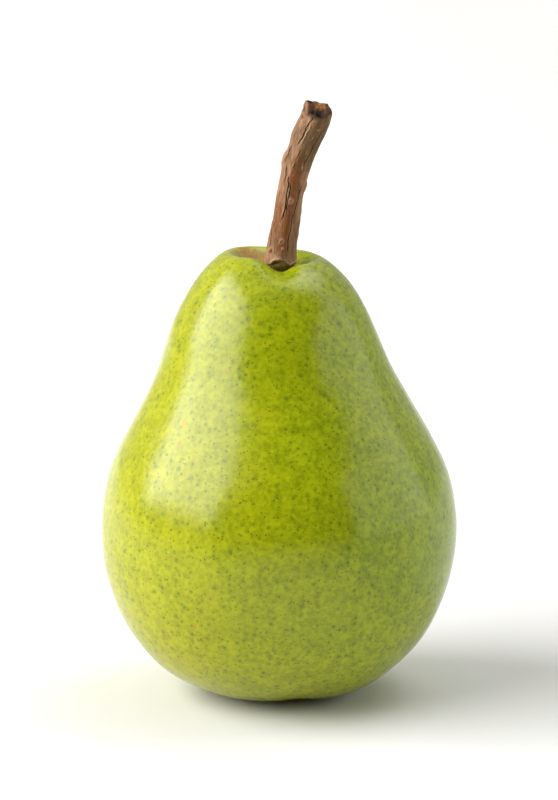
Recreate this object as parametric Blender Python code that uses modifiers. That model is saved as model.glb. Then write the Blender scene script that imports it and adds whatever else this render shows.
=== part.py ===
"""A fresh green pear, standing on its base.

Its pieces are the fruit, the woody stem rooted in the hollow of its crown, and the dried flower
in the basin under it: five sepals round a tuft of stamens. The origin is on the table, under the
middle of the belly. +Z runs up the fruit, the stem leans towards +X, and -Y is the front.
"""

import math

import bpy
from mathutils import Matrix, Vector

MM = 0.001


def in_metres(*points):
    """Points written in millimetres, as tuples in metres."""
    return tuple(tuple(value * MM for value in point) for point in points)


# Driving dimensions.
BELLY_RADIUS = 35.0 * MM
FRUIT_HEIGHT = 87.6 * MM
STEM_FOOT_RADIUS = 2.2 * MM
STEM_FOOT_HEIGHT = 80.1 * MM
STEM_FOOT_X = 0.5 * MM
GAP = 0.3 * MM

# The skin in section, as (share of BELLY_RADIUS, share of FRUIT_HEIGHT), from the mouth of the
# stem's socket over the crown, down the neck and the belly to the edge of the resting ring.
SKIN_SEGMENTS = 60
STEPS_PER_SPAN = 2
SKIN = (
    (0.088, 0.957),
    (0.150, 0.972),
    (0.240, 0.998),
    (0.350, 0.968),
    (0.458, 0.918),
    (0.564, 0.838),
    (0.647, 0.742),
    (0.775, 0.645),
    (0.925, 0.537),
    (1.000, 0.423),
    (0.993, 0.297),
    (0.902, 0.184),
    (0.766, 0.102),
    (0.622, 0.049),
    (0.490, 0.020),
    (0.400, 0.008),
    (0.335, 0.002),
    (0.280, 0.000),
)

# The basin round the dried flower, as (radius, height), from the resting ring to its floor.
BASIN = in_metres((8.3, 0.0), (7.8, 0.8), (7.1, 2.6), (5.9, 4.6), (4.2, 5.8), (2.0, 6.1), (0.0, 6.1))
RING_INNER_RADIUS = BASIN[0][0]

# The crown sits off the belly's axis, while the stem's socket stays close to it.
CROWN_SHIFT = Vector((-1.6, 0.8, 0.0)) * MM
SHIFT_FROM_HEIGHT = 0.5 * FRUIT_HEIGHT

# Folds that radiate from the stem, as (azimuth and width in degrees, lift, reach).
CROWN_FOLDS = (
    (135.0, 48.0, 0.7 * MM, 17.0 * MM),
    (-78.0, 20.0, -2.6 * MM, 15.0 * MM),
    (-35.0, 28.0, -1.4 * MM, 15.0 * MM),
    (5.0, 22.0, -1.8 * MM, 12.0 * MM),
)

# Swellings of the whole fruit, as (lobes, azimuth of a crest in degrees, share of the radius).
SWELLINGS = ((2, 45.0, 0.008), (3, 30.0, 0.006), (5, 18.0, 0.003))

# The lobes round the basin that the fruit stands on, and the grooves between them.
BASE_LOBES = 5
BASE_LOBE_AZIMUTH = math.radians(-108.0)
BASE_GROOVE = 0.5 * MM
LOBE_FLAT_SHARE = 0.35

# The front of the base, which stays a little clear of the table.
FRONT_LIFT = 0.65 * MM
FRONT_AZIMUTH = math.radians(-100.0)
FRONT_HALF_ANGLES = (math.radians(12.0), math.radians(48.0))

# The stem: its five-ridged section, and its centre line as (x, y, height, radius).
STEM_SECTION_POINTS = 20
STEM_RIDGES = 5
STEM_RIDGE_DEPTH = 0.07
STEM_LINE = (
    (STEM_FOOT_X, 0.0, STEM_FOOT_HEIGHT, STEM_FOOT_RADIUS),
    *in_metres(
        (0.5, 0.0, 82.6, 2.15),
        (0.4, 0.0, 84.1, 2.4),
        (0.2, -0.1, 85.4, 3.3),
        (0.3, -0.2, 86.9, 3.1),
        (0.8, -0.3, 90.4, 2.80),
        (1.9, -0.6, 97.0, 2.55),
        (2.9, -1.0, 103.0, 2.65),
        (4.9, -1.7, 109.0, 2.85),
        (6.5, -2.4, 112.8, 3.25),
        (7.4, -2.9, 115.9, 3.15),
    ),
)

# The socket in the crown that the stem's foot stands in.
SOCKET_RADIUS = STEM_FOOT_RADIUS * (1.0 + STEM_RIDGE_DEPTH) + GAP
SOCKET_FLOOR = STEM_FOOT_HEIGHT - GAP

# The dried flower: a sepal's middle line from its root to its tip, and the tuft in section, each
# as (radius, height).
SEPAL_COUNT = 5
SEPAL_WIDTH = 3.5 * MM
SEPAL_THICKNESS = 0.45 * MM
SEPAL_FACES_ALONG = 8
SEPAL_FACES_ACROSS = 4
SEPAL_CUP = 0.35
SEPAL_LINE = in_metres((3.0, 5.2), (4.4, 4.3), (5.2, 3.0), (5.7, 1.9), (6.5, 1.2))
TUFT = in_metres(
    (0.0, 5.6), (1.7, 5.6), (2.0, 5.1), (1.5, 3.9), (1.9, 2.5), (1.3, 2.4), (0.7, 3.3), (0.0, 3.4)
)
TUFT_SEGMENTS = 14


def eased(value, start, end):
    """0 at start and 1 at end, with a smooth way between them."""
    share = min(max((value - start) / (end - start), 0.0), 1.0)
    return share * share * (3.0 - 2.0 * share)


def smooth_line(points, steps):
    """Points on a Catmull-Rom curve through the given ones, with a number of steps to each span."""
    first = [2 * a - b for a, b in zip(points[0], points[1])]
    last = [2 * a - b for a, b in zip(points[-1], points[-2])]
    route = [first, *points, last]
    line = []
    for before, start, end, after in zip(route, route[1:], route[2:], route[3:]):
        for step in range(steps):
            t = step / steps
            line.append(
                [
                    s
                    + 0.5 * (e - b) * t
                    + (b - 2.5 * s + 2 * e - 0.5 * a) * t**2
                    + 0.5 * (3 * s - b - 3 * e + a) * t**3
                    for b, s, e, a in zip(before, start, end, after)
                ]
            )
    return [*line, list(points[-1])]


def finish(name, colour, roughness):
    """A Principled material of one plain colour."""
    material = bpy.data.materials.new(name)
    material.use_nodes = True
    shader = material.node_tree.nodes["Principled BSDF"]
    shader.inputs["Base Color"].default_value = (*colour, 1.0)
    shader.inputs["Roughness"].default_value = roughness
    shader.inputs["Metallic"].default_value = 0.0
    return material


def place(name, data, collection, material):
    """A new object that shows data in its material."""
    obj = bpy.data.objects.new(name, data)
    collection.objects.link(obj)
    if not data.materials:
        data.materials.append(material)
    return obj


def made_mesh(obj):
    """The mesh that obj and its modifiers make, with obj itself removed."""
    bpy.context.view_layer.update()
    graph = bpy.context.evaluated_depsgraph_get()
    mesh = bpy.data.meshes.new_from_object(obj.evaluated_get(graph))
    bpy.data.objects.remove(obj)
    return mesh


def turned(name, profile, segments, collection, material):
    """An object turned round Z from (radius, height) points that run down its outer side."""
    mesh = bpy.data.meshes.new(name)
    edges = [(i, i + 1) for i in range(len(profile) - 1)]
    mesh.from_pydata([(radius, 0.0, height) for radius, height in profile], edges, [])
    obj = place(name, mesh, collection, material)
    screw = obj.modifiers.new("turn", "SCREW")
    screw.steps = screw.render_steps = segments
    screw.use_merge_vertices = True
    screw.merge_threshold = 0.00001
    screw.use_smooth_shade = True
    return obj


def swell(point, azimuth):
    """Moves a point in or out, so that the round fruit is slightly lobed."""
    share = 1.0
    for lobes, crest, depth in SWELLINGS:
        share += depth * math.cos(lobes * (azimuth - math.radians(crest)))
    point.x *= share
    point.y *= share


def fold_crown(point, radius, azimuth):
    """Lifts and sinks the crown in folds that start at the stem and fade out down the neck."""
    near_stem = eased(radius, 1.2 * SOCKET_RADIUS, 2.6 * SOCKET_RADIUS)
    for direction, width, lift, reach in CROWN_FOLDS:
        turn = math.remainder(azimuth - math.radians(direction), math.tau)
        fade = near_stem * (1.0 - eased(radius, 0.5 * reach, reach))
        point.z += lift * math.exp(-((turn / math.radians(width)) ** 2)) * fade


def shift_crown(point, radius):
    """Moves the neck and crown off the belly's axis, and the socket to under the stem's foot."""
    socket_shift = Vector((STEM_FOOT_X, 0.0, 0.0))
    rim_share = eased(radius, SOCKET_RADIUS, 2.4 * SOCKET_RADIUS)
    height_share = eased(point.z, SHIFT_FROM_HEIGHT, FRUIT_HEIGHT)
    if rim_share == 0.0:
        point += socket_shift
    else:
        point += socket_shift.lerp(CROWN_SHIFT, rim_share) * height_share


def lift_base(point, radius, azimuth):
    """Lifts the grooves between the base lobes, which are flat where they rest, and the front."""
    wave = 0.5 - 0.5 * math.cos(BASE_LOBES * (azimuth - BASE_LOBE_AZIMUTH))
    groove = BASE_GROOVE * max(wave - LOBE_FLAT_SHARE, 0.0) / (1.0 - LOBE_FLAT_SHARE)
    turn = abs(math.remainder(azimuth - FRONT_AZIMUTH, math.tau))
    front = FRONT_LIFT * (1.0 - eased(turn, *FRONT_HALF_ANGLES))
    inside = eased(radius, 0.45 * RING_INNER_RADIUS, 0.9 * RING_INNER_RADIUS)
    outside = 1.0 - eased(point.z, 0.0, 0.16 * FRUIT_HEIGHT)
    point.z += (groove + front) * inside * outside


def make_fruit(collection, material):
    """The fruit: one solid of flesh and skin, with the stem's socket and the flower's basin."""
    skin = [(radius * BELLY_RADIUS, height * FRUIT_HEIGHT) for radius, height in SKIN]
    socket = [(0.0, SOCKET_FLOOR), (SOCKET_RADIUS, SOCKET_FLOOR)]
    profile = [*socket, *smooth_line(skin, STEPS_PER_SPAN), *smooth_line(BASIN, STEPS_PER_SPAN)]
    mesh = made_mesh(turned("fruit", profile, SKIN_SEGMENTS, collection, material))
    for vertex in mesh.vertices:
        point = vertex.co
        radius = math.hypot(point.x, point.y)
        azimuth = math.atan2(point.y, point.x)
        if point.z < SHIFT_FROM_HEIGHT:
            swell(point, azimuth)
            lift_base(point, radius, azimuth)
        else:
            fold_crown(point, radius, azimuth)
            if radius > 1.01 * SOCKET_RADIUS:
                swell(point, azimuth)
            shift_crown(point, radius)
    mesh.update()
    return place("fruit", mesh, collection, material)


def make_stem(collection, material):
    """The woody stem: a bent, five-ridged rod that widens at its collar and at its cut end."""
    section = bpy.data.curves.new("stem_section", "CURVE")
    outline = section.splines.new("POLY")
    outline.use_cyclic_u = True
    outline.points.add(STEM_SECTION_POINTS - 1)
    for number, point in enumerate(outline.points):
        turn = -math.tau * number / STEM_SECTION_POINTS
        reach = 1.0 + STEM_RIDGE_DEPTH * math.cos(STEM_RIDGES * turn)
        point.co = (reach * math.cos(turn), reach * math.sin(turn), 0.0, 1.0)
    curve = bpy.data.curves.new("stem", "CURVE")
    curve.dimensions = "3D"
    curve.bevel_mode = "OBJECT"
    curve.bevel_object = bpy.data.objects.new("stem_section", section)
    curve.use_fill_caps = True
    line = smooth_line(STEM_LINE, STEPS_PER_SPAN)
    spline = curve.splines.new("POLY")
    spline.points.add(len(line) - 1)
    for point, (x, y, z, radius) in zip(spline.points, line):
        point.co = (x, y, z, 1.0)
        point.radius = radius
    return place("stem", curve, collection, material)


def sepal_mesh(material):
    """One dried sepal along +X: a thin pointed blade that stands on the floor and curls out."""
    bpy.ops.mesh.primitive_grid_add(
        x_subdivisions=SEPAL_FACES_ALONG, y_subdivisions=SEPAL_FACES_ACROSS, size=1.0
    )
    blade = bpy.context.object
    line = smooth_line(SEPAL_LINE, STEPS_PER_SPAN)
    for vertex in blade.data.vertices:
        along, across = vertex.co.x + 0.5, vertex.co.y
        radius, height = line[round(along * (len(line) - 1))]
        root = 0.8 + 0.4 * eased(along, 0.0, 0.3)
        width = SEPAL_WIDTH * root * (1.0 - 0.75 * along**1.5)
        vertex.co = (radius - SEPAL_CUP * abs(across) * width, across * width, height)
    solidify = blade.modifiers.new("thickness", "SOLIDIFY")
    solidify.thickness = SEPAL_THICKNESS
    solidify.offset = 0.0
    mesh = made_mesh(blade)
    mesh.materials.append(material)
    return mesh


def make_flower(collection, material):
    """The dried flower in the basin: five sepals round a tuft of stamens."""
    blade = sepal_mesh(material)
    for number in range(SEPAL_COUNT):
        sepal = place(f"sepal_{number + 1}", blade, collection, material)
        sepal.matrix_world = Matrix.Rotation(math.tau * (number + 0.25) / SEPAL_COUNT, 4, "Z")
    tuft = smooth_line(TUFT, STEPS_PER_SPAN)
    turned("stamen_tuft", tuft, TUFT_SEGMENTS, collection, material)


def main():
    """Builds the pear."""
    for obj in list(bpy.data.objects):
        bpy.data.objects.remove(obj)
    pear = bpy.data.collections.new("pear")
    bpy.context.scene.collection.children.link(pear)
    skin = finish("pear_skin", (0.38, 0.46, 0.03), 0.35)
    bark = finish("stem_bark", (0.22, 0.12, 0.055), 0.75)
    dry = finish("dried_flower", (0.10, 0.065, 0.035), 0.85)
    make_fruit(pear, skin)
    make_stem(pear, bark)
    make_flower(pear, dry)


main()
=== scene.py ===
"""The looks of a fresh green pear: waxy dotted skin, a cracked bark stem and a dried flower.

The fruit, the stem and the sepals are refined from the frame's own solids, so they stay where the
frame has them. +Z runs up the fruit, the stem leans towards +X, and -Y is the front.
"""

import logging
import math
from contextlib import contextmanager
from dataclasses import dataclass
from enum import Enum
from typing import Iterator

import bpy
import numpy as np
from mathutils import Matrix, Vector, noise

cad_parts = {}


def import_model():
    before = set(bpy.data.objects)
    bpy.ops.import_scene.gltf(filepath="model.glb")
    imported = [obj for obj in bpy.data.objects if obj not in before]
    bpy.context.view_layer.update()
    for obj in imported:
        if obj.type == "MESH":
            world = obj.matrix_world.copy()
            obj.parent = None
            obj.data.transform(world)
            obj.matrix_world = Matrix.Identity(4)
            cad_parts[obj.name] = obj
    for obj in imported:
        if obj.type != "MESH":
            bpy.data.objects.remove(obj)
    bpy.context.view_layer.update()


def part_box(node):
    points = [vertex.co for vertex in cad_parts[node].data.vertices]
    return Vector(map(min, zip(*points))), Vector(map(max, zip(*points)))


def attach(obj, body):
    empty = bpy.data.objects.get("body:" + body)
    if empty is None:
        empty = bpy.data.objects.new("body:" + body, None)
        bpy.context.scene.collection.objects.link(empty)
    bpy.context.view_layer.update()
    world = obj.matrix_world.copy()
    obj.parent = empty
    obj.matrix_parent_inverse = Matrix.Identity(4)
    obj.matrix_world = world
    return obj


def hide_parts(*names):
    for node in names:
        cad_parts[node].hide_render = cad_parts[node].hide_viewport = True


MM = 0.001
BODY = "root"

log = logging.getLogger("pear")

Colour = tuple[float, float, float]
Span = tuple[float, float]
Numbers = float | np.ndarray

MIX_FACTOR, MIX_FIRST, MIX_SECOND, MIX_COLOUR = 0, 6, 7, 2


class Slot(Enum):
    """The record's material slots."""

    SKIN = "pear_skin"
    BARK = "stem_bark"
    DRY = "dried_flower"


class Mark(Enum):
    """Float attributes that a piece's mesh carries for its finish."""

    # Dark splits, with painted shade in grooves, pits, the hollow under the foot's flap and beside
    # the flakes.
    SPLIT = "split"
    PALE = "pale"
    WARM = "warm"
    COLLAR = "collar"
    CUT_END = "cut_end"
    SHADE = "shade"


def eased(value: Numbers, start: Numbers, end: Numbers) -> Numbers:
    """Gives a smooth step between two values.

    Args:
        value: The numbers to place between the two.
        start: Where the step is still 0.
        end: Where the step has reached 1.

    Returns:
        Shares from 0 to 1.
    """
    share = np.clip((value - start) / (end - start), 0.0, 1.0)
    return share * share * (3.0 - 2.0 * share)


def bell(distance: Numbers, width: float, power: float = 2.0) -> Numbers:
    """Gives a bell curve that is 1 at distance 0.

    Args:
        distance: How far from the bell's middle.
        width: Where the bell has dropped to 1/e.
        power: How square its shoulders are.

    Returns:
        Shares from 0 to 1.
    """
    return np.exp(-(np.abs(distance / width) ** power))


def wrapped(turn: np.ndarray) -> np.ndarray:
    """Brings angles between minus and plus half a turn."""
    return np.arctan2(np.sin(turn), np.cos(turn))


def rough(points: np.ndarray, size: float, seed: float = 0.0, layers: int = 3) -> np.ndarray:
    """Samples fractal noise, mostly between -1 and 1.

    Args:
        points: The places, one to a row.
        size: The size of the largest waves.
        seed: Shifts the pattern.
        layers: How many layers the noise has.

    Returns:
        One number for each place.
    """
    shift = Vector((seed, 2.0 * seed, 3.0 * seed))
    return np.array([noise.fractal(Vector(p) / size + shift, 0.9, 2.1, layers) for p in points])


class Bench:
    """Modelling by operators: selection, edit mode, modifiers and naming."""

    @staticmethod
    def only(obj: bpy.types.Object) -> None:
        """Makes obj the one selected and active object."""
        bpy.ops.object.select_all(action="DESELECT")
        obj.select_set(True)
        bpy.context.view_layer.objects.active = obj

    @staticmethod
    @contextmanager
    def editing(obj: bpy.types.Object) -> Iterator[None]:
        """Opens obj in edit mode with nothing selected, and leaves edit mode after."""
        Bench.only(obj)
        bpy.ops.object.mode_set(mode="EDIT")
        bpy.ops.mesh.select_all(action="DESELECT")
        try:
            yield
        finally:
            bpy.ops.object.mode_set(mode="OBJECT")

    @staticmethod
    def apply(obj: bpy.types.Object, modifier: bpy.types.Modifier) -> None:
        """Applies one modifier to obj's mesh."""
        Bench.only(obj)
        bpy.ops.object.modifier_apply(modifier=modifier.name)

    @staticmethod
    def refined_copy(node: str, name: str, levels: int) -> bpy.types.Object:
        """Makes a smooth, dense piece from one of the frame's solids.

        Args:
            node: The frame's node.
            name: The new piece's name.
            levels: How many times each face is split in four.

        Returns:
            The new piece, in the node's place.
        """
        source = bpy.data.objects[node]
        piece = bpy.data.objects.new(name, source.data.copy())
        bpy.context.scene.collection.objects.link(piece)
        piece.data.materials.clear()
        with Bench.editing(piece):
            bpy.ops.mesh.select_all(action="SELECT")
            bpy.ops.mesh.remove_doubles(threshold=0.002 * MM)
            bpy.ops.mesh.tris_convert_to_quads(face_threshold=math.pi, shape_threshold=math.pi)
            bpy.ops.mesh.faces_shade_smooth()
        Bench.subdivide(piece, levels)
        return piece

    @staticmethod
    def subdivide(piece: bpy.types.Object, levels: int) -> None:
        """Smooths a piece with an applied Subdivision Surface."""
        soften = piece.modifiers.new("soften", "SUBSURF")
        soften.levels = soften.render_levels = levels
        Bench.apply(piece, soften)

    @staticmethod
    def displace(piece: bpy.types.Object, size: float, strength: float, depth: int = 2) -> None:
        """Gives a piece gentle relief with an applied Displace modifier.

        Args:
            piece: The piece.
            size: The size of the relief's waves.
            strength: The height from the lowest to the highest point.
            depth: How many finer layers the waves have.
        """
        waves = bpy.data.textures.new(f"{piece.name}_relief", "CLOUDS")
        waves.noise_scale = size
        waves.noise_depth = depth
        relief = piece.modifiers.new("relief", "DISPLACE")
        relief.texture = waves
        relief.texture_coords = "LOCAL"
        relief.strength = strength
        relief.mid_level = 0.5
        Bench.apply(piece, relief)

    @staticmethod
    def mark(piece: bpy.types.Object, name: Mark, values: np.ndarray) -> None:
        """Writes a float attribute with one value for each vertex."""
        attribute = piece.data.attributes.new(name.value, "FLOAT", "POINT")
        attribute.data.foreach_set("value", np.clip(values, 0.0, 1.0).astype(np.float32))

    @staticmethod
    def places(piece: bpy.types.Object) -> np.ndarray:
        """Reads the places of a piece's vertices, one to a row."""
        return np.array([vertex.co for vertex in piece.data.vertices])

    @staticmethod
    def put(piece: bpy.types.Object, places: np.ndarray) -> None:
        """Moves a piece's vertices to new places."""
        piece.data.vertices.foreach_set("co", places.astype(np.float32).ravel())
        piece.data.update()

    @staticmethod
    def hand_in(piece: bpy.types.Object, slot: Slot, *nodes: str) -> None:
        """Attaches the piece to the body, hides the frame's nodes that it replaces, and logs it.

        Args:
            piece: The finished piece.
            slot: The record's material slot; not used.
            nodes: The frame's nodes that it replaces.
        """
        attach(piece, BODY)
        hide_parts(*nodes)
        log.info("%s: %d faces for %s", piece.name, len(piece.data.polygons), ", ".join(nodes))


class Graph:
    """A node tree under construction."""

    def __init__(self, tree: bpy.types.NodeTree) -> None:
        """Starts with an existing tree."""
        self.tree = tree

    def add(self, kind: str, **settings: object) -> bpy.types.Node:
        """Adds a node.

        Args:
            kind: The node's type name.
            settings: Its properties by name, or its inputs by name with spaces as underscores.

        Returns:
            The new node.
        """
        node = self.tree.nodes.new(kind)
        for key, value in settings.items():
            if hasattr(node, key):
                setattr(node, key, value)
            else:
                self.feed(node.inputs[key.replace("_", " ")], value)
        return node

    def feed(self, socket: bpy.types.NodeSocket, value: object) -> None:
        """Links a socket to an output, or gives it a plain value."""
        if isinstance(value, bpy.types.NodeSocket):
            self.tree.links.new(value, socket)
        elif isinstance(value, tuple) and socket.type == "RGBA":
            socket.default_value = (*value, 1.0)
        else:
            socket.default_value = value

    def math(self, operation: str, *values: object, clamp: bool = False) -> bpy.types.NodeSocket:
        """Adds a Math node and gives its output."""
        node = self.tree.nodes.new("ShaderNodeMath")
        node.operation = operation
        node.use_clamp = clamp
        for socket, value in zip(node.inputs, values):
            self.feed(socket, value)
        return node.outputs[0]

    def vector(self, operation: str, *values: object) -> bpy.types.NodeSocket:
        """Adds a Vector Math node and gives its vector output."""
        node = self.tree.nodes.new("ShaderNodeVectorMath")
        node.operation = operation
        for socket, value in zip(node.inputs, values):
            self.feed(socket, value)
        return node.outputs["Value" if operation in ("DISTANCE", "DOT_PRODUCT") else "Vector"]

    def scaled(self, vector: object, scale: object) -> bpy.types.NodeSocket:
        """Adds a vector or a colour times a number."""
        product = self.vector("SCALE", vector)
        self.feed(product.node.inputs["Scale"], scale)
        return product

    def step(self, value: object, low: object, high: object) -> bpy.types.NodeSocket:
        """Adds a smooth step from 0 at low to 1 at high."""
        node = self.tree.nodes.new("ShaderNodeMapRange")
        node.interpolation_type = "SMOOTHSTEP"
        self.feed(node.inputs["Value"], value)
        self.feed(node.inputs["From Min"], low)
        self.feed(node.inputs["From Max"], high)
        return node.outputs["Result"]

    def mix(self, share: object, first: object, second: object) -> bpy.types.NodeSocket:
        """Adds a colour mix that shows first at share 0 and second at share 1."""
        node = self.tree.nodes.new("ShaderNodeMix")
        node.data_type = "RGBA"
        node.blend_type = "MIX"
        node.clamp_factor = True
        for index, value in zip((MIX_FACTOR, MIX_FIRST, MIX_SECOND), (share, first, second)):
            self.feed(node.inputs[index], value)
        return node.outputs[MIX_COLOUR]

    def noise(self, vector: object, scale: object, detail: float = 2.0) -> bpy.types.NodeSocket:
        """Adds a noise texture and gives its value."""
        node = self.add("ShaderNodeTexNoise", Scale=scale, Detail=detail)
        self.feed(node.inputs["Vector"], vector)
        return node.outputs["Fac"]


class Effect:
    """A shader node group that several finishes share."""

    def __init__(self, name: str) -> None:
        """Starts an empty group with its input and output nodes."""
        self.tree = bpy.data.node_groups.new(name, "ShaderNodeTree")
        self.graph = Graph(self.tree)
        self.given = self.tree.nodes.new("NodeGroupInput")
        self.result = self.tree.nodes.new("NodeGroupOutput")

    def takes(self, name: str, kind: str, default: object = None) -> None:
        """Declares an input socket, with its default."""
        socket = self.tree.interface.new_socket(name, in_out="INPUT", socket_type=kind)
        if default is not None:
            socket.default_value = default

    def gives(self, name: str, value: bpy.types.NodeSocket) -> None:
        """Declares a float output socket and links it."""
        self.tree.interface.new_socket(name, in_out="OUTPUT", socket_type="NodeSocketFloat")
        self.tree.links.new(value, self.result.inputs[name])

    def __getitem__(self, name: str) -> bpy.types.NodeSocket:
        """The inside of an input socket."""
        return self.given.outputs[name]

    def placed(self, graph: Graph, **inputs: object) -> bpy.types.Node:
        """Puts the group in a finish.

        Args:
            graph: The finish's graph.
            inputs: The group's inputs by name, with spaces as underscores.

        Returns:
            The group node.
        """
        node = graph.tree.nodes.new("ShaderNodeGroup")
        node.node_tree = self.tree
        for key, value in inputs.items():
            graph.feed(node.inputs[key.replace("_", " ")], value)
        return node


class Effects:
    """The effects of the pear's finishes, each built once."""

    wobble_size: float = 0.7 * MM
    wobble_reach: float = 0.45 * MM
    least_dot: float = 0.5
    dot_rim: float = 0.45
    halo_rims: Span = (2.6, 0.6)
    core_rims: Span = (0.42, 0.22)
    fine_clouds: float = 3.3
    cloud_shares: Span = (0.6, 0.4)
    streak_edges: Span = (0.28, 0.72)

    def __init__(self) -> None:
        """Builds every group."""
        self.dots = self._dots()
        self.mottle = self._mottle()
        self.fibres = self._fibres()

    def _dots(self) -> Effect:
        """Round dots of uneven size, scattered through space, with soft halos and small cores."""
        effect = Effect("scattered_dots")
        effect.takes("Vector", "NodeSocketVector")
        effect.takes("Spacing", "NodeSocketFloat", 2.0 * MM)
        effect.takes("Radius", "NodeSocketFloat", 0.3 * MM)
        effect.takes("Share", "NodeSocketFloat", 1.0)
        g = effect.graph
        wobble = g.add("ShaderNodeTexNoise", Scale=1.0 / self.wobble_size, Detail=1.0)
        g.feed(wobble.inputs["Vector"], effect["Vector"])
        centred = g.vector("SUBTRACT", wobble.outputs["Color"], (0.5, 0.5, 0.5))
        place = g.vector("ADD", effect["Vector"], g.scaled(centred, self.wobble_reach))
        cells = g.add("ShaderNodeTexVoronoi", Scale=g.math("DIVIDE", 1.0, effect["Spacing"]))
        g.feed(cells.inputs["Vector"], place)
        away = g.math("MULTIPLY", cells.outputs["Distance"], effect["Spacing"])
        chance = g.add("ShaderNodeSeparateColor", Color=cells.outputs["Color"]).outputs
        size = g.math("ADD", self.least_dot, chance["Red"])
        reach = g.math("MULTIPLY", effect["Radius"], size)
        inner = g.math("MULTIPLY", reach, self.dot_rim)
        dot = g.math("SUBTRACT", 1.0, g.step(away, inner, reach))
        shown = g.math("LESS_THAN", chance["Green"], effect["Share"])
        effect.gives("Mask", g.math("MULTIPLY", dot, shown))
        for name, rims in (("Halo", self.halo_rims), ("Core", self.core_rims)):
            low, high = (g.math("MULTIPLY", reach, rim) for rim in rims)
            effect.gives(name, g.math("MULTIPLY", g.step(away, low, high), shown))
        return effect

    def _mottle(self) -> Effect:
        """Cloudy patches in two sizes."""
        effect = Effect("cloudy_mottle")
        effect.takes("Vector", "NodeSocketVector")
        effect.takes("Size", "NodeSocketFloat", 4.0 * MM)
        effect.takes("Contrast", "NodeSocketFloat", 0.15)
        g = effect.graph
        scale = g.math("DIVIDE", 1.0, effect["Size"])
        broad = g.noise(effect["Vector"], scale, 3.0)
        fine = g.noise(effect["Vector"], g.math("MULTIPLY", scale, self.fine_clouds), 2.0)
        layers = [g.math("MULTIPLY", *pair) for pair in zip((broad, fine), self.cloud_shares)]
        both = g.math("ADD", *layers)
        low = g.math("SUBTRACT", 0.5, effect["Contrast"])
        high = g.math("ADD", 0.5, effect["Contrast"])
        effect.gives("Clouds", g.step(both, low, high))
        return effect

    def _fibres(self) -> Effect:
        """Long thin streaks along Z."""
        effect = Effect("long_fibres")
        effect.takes("Vector", "NodeSocketVector")
        effect.takes("Width", "NodeSocketFloat", 0.4 * MM)
        effect.takes("Length", "NodeSocketFloat", 5.0 * MM)
        g = effect.graph
        parts = g.add("ShaderNodeSeparateXYZ", Vector=effect["Vector"])
        joined = g.add(
            "ShaderNodeCombineXYZ",
            X=g.math("DIVIDE", parts.outputs["X"], effect["Width"]),
            Y=g.math("DIVIDE", parts.outputs["Y"], effect["Width"]),
            Z=g.math("DIVIDE", parts.outputs["Z"], effect["Length"]),
        )
        streaks = g.noise(joined.outputs[0], 1.0, 4.0)
        effect.gives("Streaks", g.step(streaks, *self.streak_edges))
        return effect


def shaded(name: str) -> tuple[bpy.types.Material, Graph, bpy.types.Node]:
    """Makes a material with a Principled shader.

    Args:
        name: The material's name.

    Returns:
        The material, its graph and its Principled shader.
    """
    material = bpy.data.materials.new(name)
    material.use_nodes = True
    return material, Graph(material.node_tree), material.node_tree.nodes["Principled BSDF"]


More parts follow.
